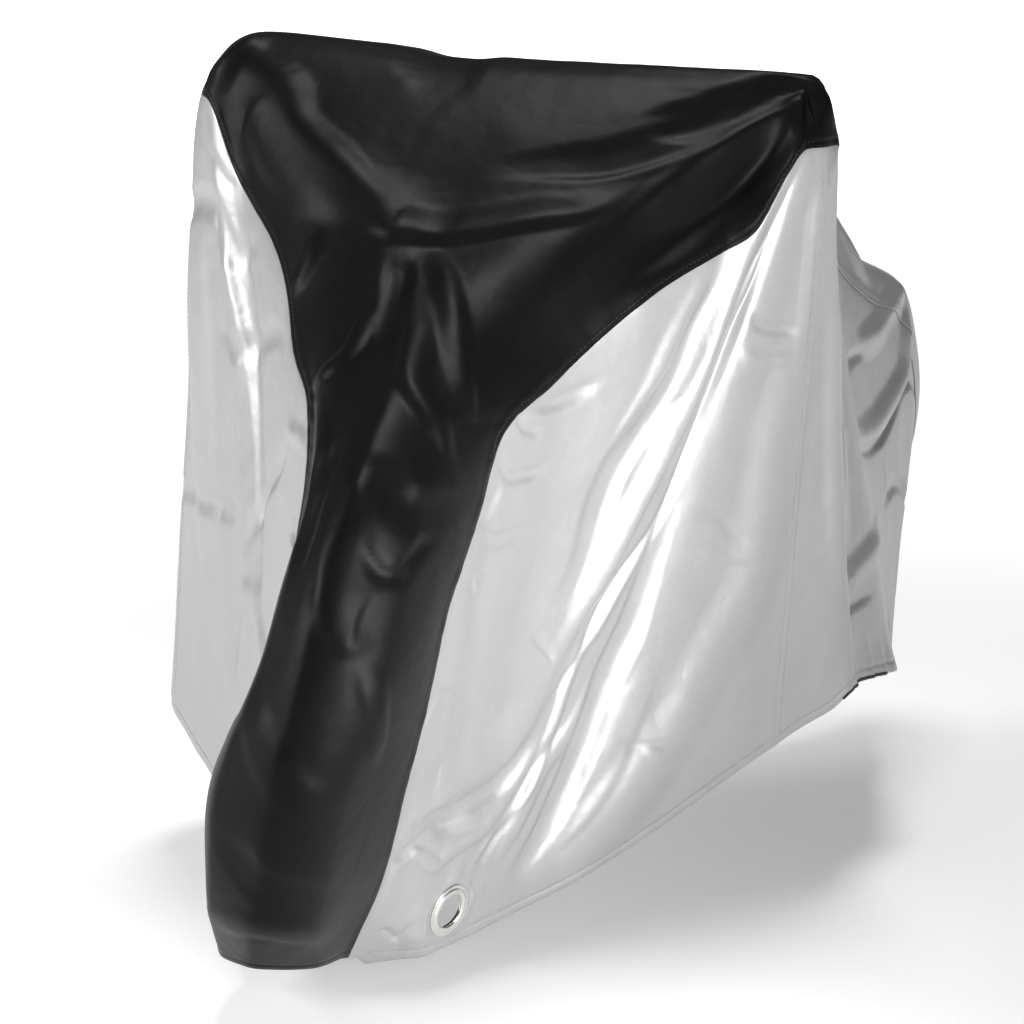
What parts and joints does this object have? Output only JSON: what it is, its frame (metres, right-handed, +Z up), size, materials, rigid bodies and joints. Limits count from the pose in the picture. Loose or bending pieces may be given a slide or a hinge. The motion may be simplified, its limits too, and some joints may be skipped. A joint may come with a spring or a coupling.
{
  "type": "bicycle cover",
  "caption": "Fitted black and silver cloth cover draped over one standing bicycle, open at the bottom, with locking eyelets low at the front.",
  "frame": {"origin": "under the cloth's top, at the middle of the handlebar that holds the cover up", "axes": "+Z up, -Y towards the front of the bicycle, +X towards the bicycle's left side"},
  "size_m": [0.8797, 1.6543, 1.0031],
  "materials": {
    "black_cloth": "satin",
    "silver_cloth": "satin",
    "eyelet_metal": "polished"
  },
  "bodies": {
    "root": {"centre_front": "black_cloth", "centre_rear": "silver_cloth", "front_side_left": "silver_cloth", "front_side_right": "silver_cloth", "rear_side_left": "silver_cloth", "rear_side_right": "silver_cloth", "eyelet_patch_left": "silver_cloth", "eyelet_patch_right": "silver_cloth", "eyelet_ring_left": "eyelet_metal", "eyelet_ring_right": "eyelet_metal"}
  },
  "joints": []
}
